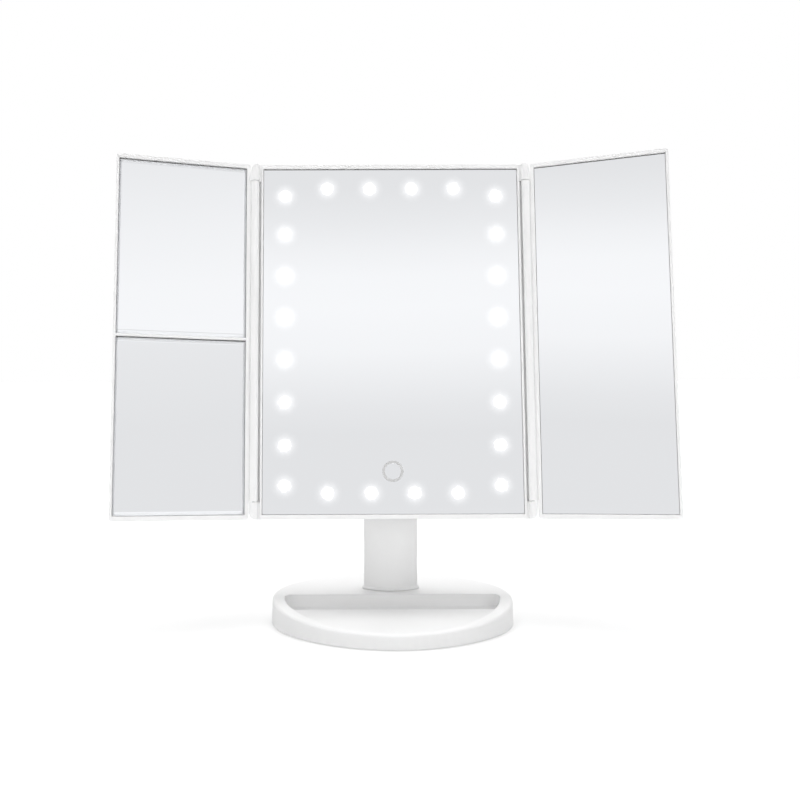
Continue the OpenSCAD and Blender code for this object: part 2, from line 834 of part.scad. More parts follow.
module batteries() {
    body_l = cell_l - tip_l;
    color([0.2, 0.3, 0.35]) in_head() for (i = [0:3]) in_bay(i) translate([0, 0, contact_t + spring_l]) {
        cylinder(body_l, cell_r, cell_r);
        translate([0, 0, body_l - eps]) cylinder(tip_l + eps, tip_r, tip_r);
    }
}

module battery_contacts() {
    color(steel) in_head() for (i = [0:3]) in_bay(i) {
        for (z = [0, bay_l - contact_t])
            block([-contact_half, -contact_half, z], [contact_half, contact_half, z + contact_t]);
        translate([0, 0, contact_t - eps]) difference() {
            cylinder(spring_l, spring_r, spring_r);
            translate([0, 0, -over])
                cylinder(spring_l + 2 * over, spring_r - spring_wall, spring_r - spring_wall);
        }
    }
}

module battery_door() {
    back = hump_back - door_sink;
    color(plastic) in_head() {
        slab(door_v, back) translate([-door_half, door_bottom])
            square([2 * door_half, hump_top - door_short - door_bottom]);
        for (s = [0, 1]) mirror([s, 0, 0])
            block([door_half - root, door_v, door_bottom],
                [door_half + tongue_l, door_v + tongue_t, bay_top]);
        // ribs for the thumb
        for (i = [0:grip_ribs - 1])
            translate([-grip_size[0] / 2, back - eps, bay_top - grip_below + grip_pitch * i])
                cube(grip_size);
    }
}

module switch_body() {
    slot = switch_slot[0] / 2 - fit_gap;
    size = [5.5, 9.2, 5.2];
    way = [2, 2 * slot, 1.8];
    color([0.2, 0.2, 0.22]) in_head() translate([-strip_half, strip_v, strip_mid]) difference() {
        translate([0, -size[1] / 2, -size[2] / 2]) cube(size);
        translate([-over, -slot, -way[2] / 2]) cube(way + [over, 0, 0]);
    }
}

// The slider stands at its ON end, nearer the front
module power_switch() {
    knob_v = strip_v - switch_travel / 2;
    knob_out = 0.6;
    knob = [hump_wall + knob_out - switch_gap, 3.2, 2.6];
    stalk = [1.8, 2.4, 1.4];
    color([0.3, 0.3, 0.32]) in_head() translate([-strip_half - switch_gap, knob_v, strip_mid]) {
        translate([-knob[0], -knob[1] / 2, -knob[2] / 2]) cube(knob);
        translate([-eps, -stalk[1] / 2, -stalk[2] / 2]) cube(stalk);
    }
}

module charging_socket() {
    sink = 0.8;
    deep = 5.5;
    sheet = 0.4;
    tongue = [4, 0.6] / 2;
    x1 = hump_half - sink;
    x0 = x1 - deep;
    half = socket_size / 2;
    color(steel) in_head() {
        difference() {
            block([x0, strip_v - half[0], strip_mid - half[1]],
                [x1, strip_v + half[0], strip_mid + half[1]]);
            block([x0 + sheet, strip_v - half[0] + sheet, strip_mid - half[1] + sheet],
                [x1 + over, strip_v + half[0] - sheet, strip_mid + half[1] - sheet]);
        }
        // tongue with the contacts
        block([x0 + sheet - eps, strip_v - tongue[0], strip_mid - tongue[1]],
            [x1 - sink, strip_v + tongue[0], strip_mid + tongue[1]]);
    }
}

// ---------- side panels ----------

module hinge_pins(side) {
    for (z = [panel_bottom + pin_cap, panel_top - pin_cap - hinge_pin_l])
        translate([side * hinge_x, hinge_v, z]) cylinder(hinge_pin_l, hinge_pin_r, hinge_pin_r);
}

module hinge_pins_left() {
    color(steel) in_head() hinge_pins(-1);
}

module hinge_pins_right() {
    color(steel) in_head() hinge_pins(1);
}

module wing_outline(inset = 0) {
    plate_outline([wing_in + inset, panel_bottom + inset], [wing_out - inset, panel_top - inset],
        corner_r - inset);
}

module wing_panes(grow) {
    x0 = wing_pocket_in + pane_gap - grow;
    x1 = wing_pocket_out - pane_gap + grow;
    translate([x0, -grow]) square([x1 - x0, glass_h + 2 * grow]);
}

module wing_frame(split) {
    bore_l = hinge_pin_l - (knuckle_h - pin_cap) - body_gap + bore_end;
    web_x = 1.4;
    difference() {
        union() {
            difference() {
                slab(wing_front, wing_back) wing_outline();
                slab(wing_front - over, wing_carrier_v) wing_panes(pane_gap);
                slab(wing_carrier_v + carrier_t, wing_back + over)
                    translate([wing_in + shell_wall, panel_bottom + shell_wall])
                        square([wing_out - wing_in - 2 * shell_wall, panel_h - 2 * shell_wall]);
            }
            if (split) slab(wing_front, wing_carrier_v + eps)
                translate([wing_pocket_in - eps, lower_pane_h + pane_gap])
                    square([wing_pocket_out - wing_pocket_in + 2 * eps, cross_bar]);
            translate([0, 0, barrel_bottom]) cylinder(barrel_top - barrel_bottom, barrel_r, barrel_r);
            // web between the barrel and the panel
            block([web_x, wing_front + web_sink, barrel_bottom],
                [wing_in + web_root, barrel_r, barrel_top]);
        }
        for (z = [barrel_bottom - over, barrel_top - bore_l]) translate([0, 0, z])
            cylinder(bore_l + over, hinge_pin_r + run_gap, hinge_pin_r + run_gap);
    }
}

module wing_tape(z0, z1) {
    inset = 8;
    strip_w = 10;
    x0 = wing_pocket_in + inset;
    x1 = wing_pocket_out - inset;
    slab(wing_pane_v + glass_t, wing_carrier_v) {
        for (x = [x0, x1 - strip_w]) translate([x, z0 + inset]) square([strip_w, z1 - z0 - 2 * inset]);
        translate([x0, (z0 + z1 - strip_w) / 2]) square([x1 - x0, strip_w]);
    }
}

module wing_cover() {
    hull() for (a = round_steps) slab(wing_back, wing_back + wing_cover_t - back_round * (1 - sin(a)))
        wing_outline(back_round * (1 - cos(a)));
    slab(wing_back - lip_h, wing_back + eps) translate([(wing_in + wing_out) / 2, 0]) {
        corner = [(wing_in - wing_out) / 2 + shell_wall, panel_bottom + shell_wall];
        difference() {
            lip_square(corner, fit_gap);
            lip_square(corner, fit_gap + lip_t);
        }
    }
}

module left_frame() {
    color(plastic) in_wing(-1) wing_frame(true);
}

// A pane from height z0 to z1 with a round hollow in its front, which runs out just past the pane's corners
module dished_pane(z0, z1, dish_r) {
    half_w = (wing_pocket_out - wing_pocket_in) / 2 - pane_gap;
    half_h = (z1 - z0) / 2;
    middle_x = (wing_pocket_in + wing_pocket_out) / 2;
    reach = sqrt(pow(half_w, 2) + pow(half_h, 2)) + 1;
    steps = 12;
    hollow = [for (i = [0:steps]) let (r = reach * (1 - i / steps))
        [r, sqrt(pow(dish_r, 2) - pow(r, 2)) - sqrt(pow(dish_r, 2) - pow(reach, 2))]];
    difference() {
        block([middle_x - half_w, wing_pane_v, z0], [middle_x + half_w, wing_pane_v + glass_t, z1]);
        translate([middle_x, wing_pane_v, (z0 + z1) / 2]) rotate([-90, 0, 0]) rotate_extrude()
            polygon(concat([[0, -over], [reach, -over]], hollow));
    }
}

module left_mirror_upper() {
    color(mirror_tone) in_wing(-1) dished_pane(upper_pane_z, glass_h, upper_dish_r);
}

module left_mirror_lower() {
    color(mirror_tone) in_wing(-1) dished_pane(0, lower_pane_h, lower_dish_r);
}

module left_tape() {
    color([0.9, 0.9, 0.88]) in_wing(-1) {
        wing_tape(0, lower_pane_h);
        wing_tape(upper_pane_z, glass_h);
    }
}

module left_back() {
    color(plastic) in_wing(-1) wing_cover();
}

module right_frame() {
    color(plastic) in_wing(1) wing_frame(false);
}

module right_mirror() {
    color(mirror_tone) in_wing(1) slab(wing_pane_v, wing_pane_v + glass_t) wing_panes(0);
}

module right_tape() {
    color([0.9, 0.9, 0.88]) in_wing(1) wing_tape(0, glass_h);
}

module right_back() {
    color(plastic) in_wing(1) wing_cover();
}

base_shell();
base_plate();
base_weight();
base_feet();
base_screws_set();
stem();
stem_screws();
tilt_axle();
tilt_nut();
tilt_washers();
center_frame();
center_mirror();
center_tape();
led_lenses();
leds();
led_board();
touch_pad();
touch_spring();
control_board();
rear_housing();
housing_screws();
batteries();
battery_contacts();
battery_door();
switch_body();
power_switch();
charging_socket();
hinge_pins_left();
hinge_pins_right();
left_frame();
left_mirror_upper();
left_mirror_lower();
left_tape();
left_back();
right_frame();
right_mirror();
right_tape();
right_back();
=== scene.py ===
"""Lighted trifold vanity mirror: the finish of every piece, the camera, and a plain white studio round it.

The object is followed as it is put together: stand, tilt joint, centre panel with its lamps, rear housing
with battery bay, hinges, left panel, right panel. Lengths are in metres unless a name says millimetres.
"""
import json
from math import atan2, cos, radians, sin

import bmesh
import bpy
from mathutils import Matrix, Vector


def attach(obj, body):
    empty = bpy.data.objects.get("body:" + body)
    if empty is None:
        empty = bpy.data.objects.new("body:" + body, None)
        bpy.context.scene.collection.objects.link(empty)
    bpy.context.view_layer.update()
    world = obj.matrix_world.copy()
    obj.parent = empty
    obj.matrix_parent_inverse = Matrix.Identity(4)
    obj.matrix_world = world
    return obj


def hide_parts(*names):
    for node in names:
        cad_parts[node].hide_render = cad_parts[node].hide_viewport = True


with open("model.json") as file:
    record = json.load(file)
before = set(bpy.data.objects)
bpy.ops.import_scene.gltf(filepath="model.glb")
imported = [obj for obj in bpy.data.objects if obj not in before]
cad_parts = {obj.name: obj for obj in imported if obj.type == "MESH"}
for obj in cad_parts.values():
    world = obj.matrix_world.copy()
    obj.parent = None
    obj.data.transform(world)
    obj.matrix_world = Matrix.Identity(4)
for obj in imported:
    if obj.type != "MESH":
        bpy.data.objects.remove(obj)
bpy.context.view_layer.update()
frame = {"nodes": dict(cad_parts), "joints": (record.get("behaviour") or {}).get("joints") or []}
MM = 0.001

# ---------------------------------------------------------------- camera
# A 39 mm lens 0.54 m in front of the stand, at the height of the panes' middle, looking slightly down.
# The photograph is cut from a wider picture, so the lens axis meets it left of its middle.
PHOTO_SIDE = 800
FOCAL_PIXELS = 875
AXIS_COLUMN = 342.5
FILM_MM = 36
camera_place = Vector((-0.032, -0.5419, 0.1706))
pitch, yaw, roll = radians(3.35), radians(-0.13), radians(-0.18)

look = Vector((-sin(yaw) * cos(pitch), cos(yaw) * cos(pitch), -sin(pitch)))
level_right = Vector((cos(yaw), sin(yaw), 0))
level_up = level_right.cross(look)
right = level_right * cos(roll) + level_up * sin(roll)
up = level_up * cos(roll) - level_right * sin(roll)

lens = bpy.data.cameras.new("camera")
lens.sensor_width = FILM_MM
lens.lens = FOCAL_PIXELS / PHOTO_SIDE * FILM_MM
lens.shift_x = (PHOTO_SIDE / 2 - AXIS_COLUMN) / PHOTO_SIDE
lens.clip_start = 0.01
lens.clip_end = 50
camera = bpy.data.objects.new("camera", lens)
camera.matrix_world = Matrix.Translation(camera_place) @ Matrix((right, up, -look)).transposed().to_4x4()
bpy.context.scene.collection.objects.link(camera)
bpy.context.scene.camera = camera
bpy.context.scene.view_settings.view_transform = "Standard"


# ---------------------------------------------------------------- studio
# A white sweep. Its front wall is a shade under white, with one brighter band that the panes show. Two
# softboxes hang overhead, left and right, a third behind, and the wall behind gives a soft back light.
class Wire:
    """One value in a shader. Python's operators on it add Math nodes, and node() adds any other node."""

    def __init__(self, tree, socket=None):
        self.tree = tree
        self.socket = socket

    def node(self, kind, settings=None, inputs=None, out=0):
        made = self.tree.nodes.new(kind)
        for name, value in (settings or {}).items():
            if name == "stops":
                bands = made.color_ramp.elements
                while len(bands) < len(value):
                    bands.new(1)
                for band, (at, colour) in zip(bands, value):
                    band.position = at
                    band.color = (*colour, 1)
            else:
                setattr(made, name, value)
        for name, value in (inputs or {}).items():
            if isinstance(value, Wire):
                self.tree.links.new(value.socket, made.inputs[name])
            else:
                made.inputs[name].default_value = value
        return Wire(self.tree, made.outputs[out] if made.outputs else None)

    def maths(self, operation, *terms):
        return self.node("ShaderNodeMath", {"operation": operation}, dict(enumerate(terms)))

    def ramp(self, *stops):
        return self.node("ShaderNodeValToRGB", {"stops": stops}, {"Fac": self})

    def rise(self, low, high):
        """0 below low, 1 above high, and a smooth step between."""
        return self.node("ShaderNodeMapRange", {"interpolation_type": "SMOOTHSTEP"},
                         {"Value": self, "From Min": low, "From Max": high})

    def mix(self, below, above):
        """The colour below where this value is 0, and the colour above where it is 1."""
        ends = [c if isinstance(c, Wire) else (*c, 1) for c in (below, above)]
        return self.node("ShaderNodeMix", {"data_type": "RGBA"}, {0: self, 6: ends[0], 7: ends[1]}, 2)

    def __add__(self, other):
        return self.maths("ADD", self, other)

    def __sub__(self, other):
        return self.maths("SUBTRACT", self, other)

    def __mul__(self, other):
        return self.maths("MULTIPLY", self, other)

    def __truediv__(self, other):
        return self.maths("DIVIDE", self, other)

    def __rsub__(self, other):
        return self.maths("SUBTRACT", other, self)

    __radd__ = __add__
    __rmul__ = __mul__


def grey(tone):
    return (tone, tone, tone)


# The front wall as the panes show it: its brightness, what the band adds, and the band's outline as pairs of
# the sine of the height angle and the share of what it adds there
WALL = 0.86
BAND = 0.185
band_stops = [(0.215, 0), (0.245, 0.2), (0.275, 0.52), (0.305, 0.84), (0.352, 1), (0.385, 0.95),
              (0.41, 0.72), (0.44, 0.34), (0.472, 0.04), (0.49, 0)]
# What the object is lit by: the walls, what hangs over them, and the sines where each begins and ends
FRONT_WALL = 1.42
FRONT_TOP = 0.66
SIDE_WALL = 0.1
BACK_WALL = 1.0
ZENITH_FRONT = 0.2
ZENITH_SIDES = 6.0
ZENITH_BACK = 3.7
ZENITH = (0.84, 0.86)
WALL_FOOT = (0.11, 0.13)
WALL_HEAD = (0.49, 0.51)
FRONT_EDGE = (0.54, 0.74)
BACK_EDGE = (-0.54, -0.74)

world = bpy.data.worlds.new("studio")
world.use_nodes = True
bpy.context.scene.world = world
world.node_tree.nodes.clear()
studio = Wire(world.node_tree)
direction = studio.node("ShaderNodeTexCoord", out=0)
across = studio.node("ShaderNodeSeparateXYZ", {}, {0: direction}, "X")
away = studio.node("ShaderNodeSeparateXYZ", {}, {0: direction}, "Y")
height = studio.node("ShaderNodeSeparateXYZ", {}, {0: direction}, "Z")
wall = height.ramp(*[(at, grey(WALL + BAND * share)) for at, share in band_stops])
frontness = away / studio.maths("SQRT", across * across + away * away) * -1
in_front = frontness.rise(*FRONT_EDGE)
behind = frontness.rise(*BACK_EDGE)
at_side = 1 - in_front - behind
overhead = height.rise(*ZENITH)
above_wall = height.rise(*WALL_HEAD)
on_wall = height.rise(*WALL_FOOT) * (1 - above_wall)
zenith = in_front * ZENITH_FRONT + at_side * ZENITH_SIDES + behind * ZENITH_BACK
walls = in_front * wall * FRONT_WALL + at_side * SIDE_WALL + behind * BACK_WALL
lit = on_wall * walls + (1 - overhead) * above_wall * in_front * FRONT_TOP + overhead * zenith
to_gloss = studio.node("ShaderNodeLightPath", out="Is Glossy Ray")
to_camera = studio.node("ShaderNodeLightPath", out="Is Camera Ray")
tone = to_camera.mix(to_gloss.mix(lit, wall), grey(1))
background = studio.node("ShaderNodeBackground", {}, {"Color": tone})
studio.node("ShaderNodeOutputWorld", {}, {"Surface": background})

# Floor: the white paper of the sweep. The camera sees it near white, and it keeps the faint shadow.
FLOOR_HALF = 4.0
FIBRES_PER_M = 40.0
PAPER_TONES = (0.925, 0.935)
GLOW_TO_CAMERA = 0.55
GLOW_TO_GLOSS = 0.8
floor_mesh = bpy.data.meshes.new("floor")
corners = ((-1, -1), (1, -1), (1, 1), (-1, 1))
floor_mesh.from_pydata([(x * FLOOR_HALF, y * FLOOR_HALF, 0) for x, y in corners], [], [(0, 1, 2, 3)])
floor = bpy.data.objects.new("floor", floor_mesh)
bpy.context.scene.collection.objects.link(floor)


def new_material(name):
    material = bpy.data.materials.new(name)
    material.use_nodes = True
    material.node_tree.nodes.clear()
    return material, Wire(material.node_tree)


paper, sheet = new_material("floor_paper")
fibres = sheet.node("ShaderNodeTexNoise", {}, {"Scale": FIBRES_PER_M, "Detail": 2.0})
matt = sheet.node("ShaderNodeBsdfDiffuse", {}, {"Color": fibres.mix(*map(grey, PAPER_TONES))})
white_light = sheet.node("ShaderNodeEmission", {}, {"Color": (1, 1, 1, 1), "Strength": 1.0})
to_camera = sheet.node("ShaderNodeLightPath", out="Is Camera Ray")
to_gloss = sheet.node("ShaderNodeLightPath", out="Is Glossy Ray")
glow = to_camera * GLOW_TO_CAMERA + to_gloss * GLOW_TO_GLOSS
lifted = sheet.node("ShaderNodeMixShader", {}, {0: glow, 1: matt, 2: white_light})
sheet.node("ShaderNodeOutputMaterial", {}, {"Surface": lifted})
floor_mesh.materials.append(paper)


# ---------------------------------------------------------------- base and column mouldings
# Base shell with the half-moon tray, its bottom plate, and the oval column, injection moulded in white ABS.
# The moulds are spark-eroded to a fine satin. The column is screwed on from inside the base.
def dress(material, *nodes):
    for name in nodes:
        for slot in frame["nodes"][name].material_slots:
            slot.material = material


def skin(wire, **inputs):
    """Ends a material with one surface shader. Spaces in its socket names are written as underscores."""
    shader = wire.node("ShaderNodeBsdfPrincipled", {}, {k.replace("_", " "): v for k, v in inputs.items()})
    wire.node("ShaderNodeOutputMaterial", {}, {"Surface": shader})


def noise(wire, place, per_unit, detail=2.0):
    """Cloudy values between 0 and 1, with about this many clouds in one unit of the place."""
    return wire.node("ShaderNodeTexNoise", {}, {"Vector": place, "Scale": per_unit, "Detail": detail})


def bump(wire, height, depth, strength, **more):
    return wire.node("ShaderNodeBump", {}, {
        "Height": height, "Distance": depth, "Strength": strength, **more})


FLOW_PER_M = 28.0
FLOW_SHADE = 0.992
FLOW_DULLING = 0.05
EROSION_PER_M = 2600.0
EROSION_DEPTH = 0.00005
EDGE_RADIUS = 0.0005
ABS_IOR = 1.52


def moulded_abs(name, colour, roughness, texture):
    """Moulded plastic: faint flow marks, the mould's spark-eroded grain, and edges with its small radius."""
    material, wire = new_material(name)
    place = wire.node("ShaderNodeTexCoord", out="Object")
    flow = noise(wire, place, FLOW_PER_M)
    erosion = noise(wire, place, EROSION_PER_M, 1.0)
    deep = [c * FLOW_SHADE for c in colour]
    rounded = wire.node("ShaderNodeBevel", {"samples": 6}, {"Radius": EDGE_RADIUS})
    skin(wire, Base_Color=flow.ramp((0.3, deep), (0.7, colour)), Roughness=roughness + flow * FLOW_DULLING,
         IOR=ABS_IOR, Normal=bump(wire, erosion, EROSION_DEPTH, texture, Normal=rounded))
    return material


# The stand's white is set a shade darker than the head's: painted shade on the stand.
shaded_satin_white = moulded_abs("shaded_satin_white_abs", grey(0.866), 0.37, 0.12)
dress(shaded_satin_white, "base_shell", "base_plate", "stem")


# ---------------------------------------------------------------- weight, feet and screws
# A zinc-plated steel plate keeps the stand from tipping. Four black rubber feet are glued under the bottom
# plate, and self-tapping screws hold the plate and the column.
CLOUDS_PER_M = 420.0
CLOUD_SHADE = 0.86
GRAIN_PER_M = 5200.0
GRAIN_DEPTH = 0.00003


def plated_steel(name, colour, roughness):
    """Plated or ground steel: cloudy dull spots and a fine grain."""
    material, wire = new_material(name)
    place = wire.node("ShaderNodeTexCoord", out="Object")
    cloud = noise(wire, place, CLOUDS_PER_M, 3.0)
    grain = noise(wire, place, GRAIN_PER_M)
    dull = [c * CLOUD_SHADE for c in colour]
    skin(wire, Base_Color=cloud.ramp((0.32, dull), (0.68, colour)), Metallic=1.0,
         Roughness=roughness + cloud * 0.16, Normal=bump(wire, grain, GRAIN_DEPTH, 0.2))
    return material


zinc = plated_steel("zinc_plated_steel", (0.7, 0.71, 0.73), 0.24)
dress(zinc, "base_screws_set", "stem_screws", "housing_screws", "tilt_axle", "tilt_nut")

SPANGLES_PER_M = 150.0
spangle, wire = new_material("spangled_zinc_plate")
place = wire.node("ShaderNodeTexCoord", out="Object")
flake = wire.node("ShaderNodeTexVoronoi", {}, {"Vector": place, "Scale": SPANGLES_PER_M}, "Color")
flake = wire.node("ShaderNodeSeparateColor", {}, {"Color": flake})
skin(wire, Base_Color=flake.ramp((0.1, (0.56, 0.57, 0.58)), (0.9, (0.68, 0.69, 0.7))), Metallic=1.0,
     Roughness=0.34 + flake * 0.18)
dress(spangle, "base_weight")

BLOOM_PER_M = 160.0
PORES_PER_M = 1900.0
PORE_DEPTH = 0.00008
black_rubber, wire = new_material("black_rubber")
place = wire.node("ShaderNodeTexCoord", out="Object")
bloom = noise(wire, place, BLOOM_PER_M, 3.0)
pores = noise(wire, place, PORES_PER_M)
skin(wire, Base_Color=bloom.ramp((0.3, grey(0.022)), (0.75, grey(0.05))), Roughness=0.66 + bloom * 0.22,
     Normal=bump(wire, pores, PORE_DEPTH, 0.35))
dress(black_rubber, "base_feet")

# ---------------------------------------------------------------- tilt joint
# Friction washers of black nylon between the column's round head and the two lugs of the rear housing.
# The steel bolt and nut above clamp them.
RUBBED_PER_M = 700.0
nylon, wire = new_material("black_nylon")
place = wire.node("ShaderNodeTexCoord", out="Object")
rubbed = noise(wire, place, RUBBED_PER_M, 3.0)
skin(wire, Base_Color=rubbed.ramp((0.3, grey(0.03)), (0.7, grey(0.07))), Roughness=0.45 + rubbed * 0.2)
dress(nylon, "tilt_washers")

# ---------------------------------------------------------------- centre frame
# The tray that carries the centre pane, with the hinge knuckles at its corners, moulded in a glossier white
# than the stand and set brighter than the stand's white: painted light. The foam tape under the panes is
# white and open-celled at its cut edges.
lit_gloss_white = moulded_abs("lit_gloss_white_abs", grey(0.95), 0.24, 0.04)
dress(lit_gloss_white, "center_frame")

FOAM_CELLS_PER_M = 2400.0
FOAM_CELL_DEPTH = 0.00015
foam, wire = new_material("white_foam_tape")
place = wire.node("ShaderNodeTexCoord", out="Object")
cells = wire.node("ShaderNodeTexVoronoi", {}, {"Vector": place, "Scale": FOAM_CELLS_PER_M})
skin(wire, Base_Color=cells.ramp((0.1, grey(0.74)), (0.5, grey(0.86))), Roughness=0.85 + cells * 0.1,
     Normal=bump(wire, cells, FOAM_CELL_DEPTH, 0.5))
dress(foam, "center_tape")

# ---------------------------------------------------------------- centre pane
# 2 mm float glass, silvered on the back. Round windows are etched through the silver over the 24 lamps, which
# are on, and a thin ring near the bottom shows where to touch.
up_axis = {joint["name"]: Vector(joint["axis"]) for joint in frame["joints"]}["left_wing_hinge"].normalized()
back_axis = up_axis.cross(Vector((1, 0, 0)))
LEAN = -atan2(up_axis.y, up_axis.z)
glass_points = [vertex.co for vertex in frame["nodes"]["center_mirror"].data.vertices]
glass_foot = up_axis * min(point.dot(up_axis) for point in glass_points)
glass_foot += back_axis * min(point.dot(back_axis) for point in glass_points)

GLASS_H_MM = 217.0
SILVER = (0.885, 0.895, 0.915)
HAZE_PER_MM = 0.014
CLEAREST = 0.008
HAZIER = 0.006
# The dark line along a pane's top, its width and grey: partly the glass's cut edge, partly painted shadow and
# reflection of the frame's lip above it
EDGE_AND_SHADOW_LINE_MM = 0.5
EDGE_AND_SHADOW_GREY = grey(0.18)
# The edge of a lamp window runs between these distances from its lamp, ragged where the silver was etched
WINDOW_MM = (3.2, 4.3)
RAGS_PER_MM = 0.4
RAGGED_MM = 2.4
ETCHED_GREY = grey(0.62)
ETCHED_DULLNESS = 0.4
# Centre height, inner and outer radius of the touch ring, and the softness of its edges
RING_MM = (26.0, 4.95, 6.5)
RING_SOFT_MM = 0.15
# Columns and heights of a quarter's lamps from the pane's middle
window_rows = [(13.3, 95.8), (39.9, 95.8), (66.5, 91.1), (66.5, 66.5), (66.5, 39.9), (66.5, 13.3)]
# The light that spreads in the glass round a lamp: distance in centimetres, brightness
glow_stops = [(0.3, 0.22), (0.38, 0.2), (0.43, 0.165), (0.48, 0.13), (0.54, 0.098), (0.6, 0.068),
              (0.66, 0.043), (0.73, 0.026), (0.79, 0.015), (0.92, 0)]


def head_place(wire):
    """X, depth and height in millimetres from the foot of the centre pane."""
    return wire.node("ShaderNodeMapping", {"vector_type": "TEXTURE"}, {
        "Vector": wire.node("ShaderNodeTexCoord", out="Object"), "Location": glass_foot,
        "Rotation": (LEAN, 0, 0), "Scale": (MM, MM, MM)})


def parts(place):
    return [place.node("ShaderNodeSeparateXYZ", {}, {0: place}, axis) for axis in "XYZ"]


def far(x, z):
    return x.maths("SQRT", x * x + z * z)


def lamp_distance(x, z):
    """Distance to the nearest lamp. The lamps are the same in all four quarters of the pane."""
    side = x.maths("ABSOLUTE", x)
    level = z.maths("ABSOLUTE", z - GLASS_H_MM / 2)
    nearest, *others = [far(side - lamp_x, level - lamp_z) for lamp_x, lamp_z in window_rows]
    for other in others:
        nearest = x.maths("MINIMUM", nearest, other)
    return nearest


def cut_edge_and_lip_shadow(z, top):
    """1 in a dark line along the top: the glass's cut edge, with painted shadow and painted reflection of the
    frame's top lip.
    """
    return z.rise(top - EDGE_AND_SHADOW_LINE_MM, top - EDGE_AND_SHADOW_LINE_MM * 0.9)


lit_pane, wire = new_material("silvered_glass_with_lamps")
place = head_place(wire)
x, _, z = parts(place)
ragged = noise(wire, place, RAGS_PER_MM, 3.0)
nearest = lamp_distance(x, z) + (ragged - 0.5) * RAGGED_MM
window = 1 - nearest.rise(*WINDOW_MM)
glow = (nearest * 0.1).ramp(*[(at, grey(tone)) for at, tone in glow_stops])
ring_far = far(x, z - RING_MM[0])
inside, outside = [ring_far.rise(radius - RING_SOFT_MM, radius + RING_SOFT_MM) for radius in RING_MM[1:]]
ring = inside * (1 - outside)
haze = noise(wire, place, HAZE_PER_MM, 3.0)
opened = ring + window
# The dark line along the top is partly the cut edge, partly painted shadow and reflection of the lip above.
edge = cut_edge_and_lip_shadow(z, GLASS_H_MM)
skin(wire, Base_Color=edge.mix(opened.mix(SILVER, ETCHED_GREY), EDGE_AND_SHADOW_GREY),
     Metallic=(1 - opened) * (1 - edge), Roughness=CLEAREST + haze * HAZIER + opened * ETCHED_DULLNESS,
     Emission_Color=window.mix(glow, grey(1)), Emission_Strength=1.0)
dress(lit_pane, "center_mirror")

# ---------------------------------------------------------------- lamps behind the pane
# Frosted light guides fill the windows. Chip lamps sit behind them on a white circuit board that follows the
# pane's edge, pushed onto stakes of the frame.
FROST_PER_M = 1500.0
frosted, wire = new_material("frosted_light_guide")
place = wire.node("ShaderNodeTexCoord", out="Object")
frost = noise(wire, place, FROST_PER_M)
skin(wire, Base_Color=frost.ramp((0.3, grey(0.86)), (0.7, grey(0.94))), Roughness=0.5 + frost * 0.2,
     Emission_Color=(1, 0.98, 0.95, 1), Emission_Strength=0.5)
dress(frosted, "led_lenses")

PHOSPHOR_MM = (1.0, 1.15)
CRYSTALS_PER_MM = 3.0
chip, wire = new_material("chip_lamp")
place = head_place(wire)
x, _, z = parts(place)
phosphor = 1 - lamp_distance(x, z).rise(*PHOSPHOR_MM)
crystals = noise(wire, place, CRYSTALS_PER_MM)
skin(wire, Base_Color=phosphor.mix(grey(0.86), crystals.mix((0.9, 0.66, 0.2), (0.98, 0.8, 0.32))),
     Roughness=0.4 + crystals * 0.2,
     Emission_Color=phosphor.mix(grey(0), (1, 0.93, 0.75)), Emission_Strength=2.0)
dress(chip, "leds")


TRACK_WIDTH = 0.03


def circuit_tracks(wire, place, per_mm):
    """1 on the board's mask and 0 along the thin copper tracks under it."""
    return wire.node("ShaderNodeTexBrick", {}, {
        "Vector": place, "Scale": per_mm, "Mortar Size": TRACK_WIDTH,
        "Color1": (1, 1, 1, 1), "Color2": (1, 1, 1, 1), "Mortar": (0, 0, 0, 1)})


LAMP_WEAVE_PER_MM = 2.0
LAMP_TRACKS_PER_MM = 0.3
white_board, wire = new_material("white_circuit_board")
place = head_place(wire)
weave = noise(wire, place, LAMP_WEAVE_PER_MM)
mask = weave.mix(grey(0.84), grey(0.9))
lacquer = circuit_tracks(wire, place, LAMP_TRACKS_PER_MM).mix((0.8, 0.81, 0.78), mask)
skin(wire, Base_Color=lacquer, Roughness=0.35 + weave * 0.2)
dress(white_board, "led_board")

# ---------------------------------------------------------------- touch control
# A copper pad is glued behind the ring. A sprung electrode joins it to the green control board, which stands
# on two posts of the frame.
ROLLED_PER_M = 900.0
copper, wire = new_material("copper_foil")
place = wire.node("ShaderNodeTexCoord", out="Object")
rolled = noise(wire, place, ROLLED_PER_M, 3.0)
skin(wire, Base_Color=rolled.ramp((0.3, (0.62, 0.33, 0.2)), (0.7, (0.8, 0.46, 0.3))), Metallic=1.0,
     Roughness=0.28 + rolled * 0.2)
dress(copper, "touch_pad")

bright_steel = plated_steel("nickel_plated_spring", (0.76, 0.75, 0.72), 0.2)
PAD_BACK_MM = 2.3
BOARD_FRONT_MM = 5.4
ELECTRODE_MM = (3.9, 3.9)
ELECTRODE_WIRE_MM = 0.25
COIL_TURNS = 4
across_axis = Vector((1, 0, 0))


def head_point(x, depth, z):
    """The place of a point given in millimetres from the foot of the centre pane."""
    return glass_foot + (across_axis * x + back_axis * depth + up_axis * z) * MM


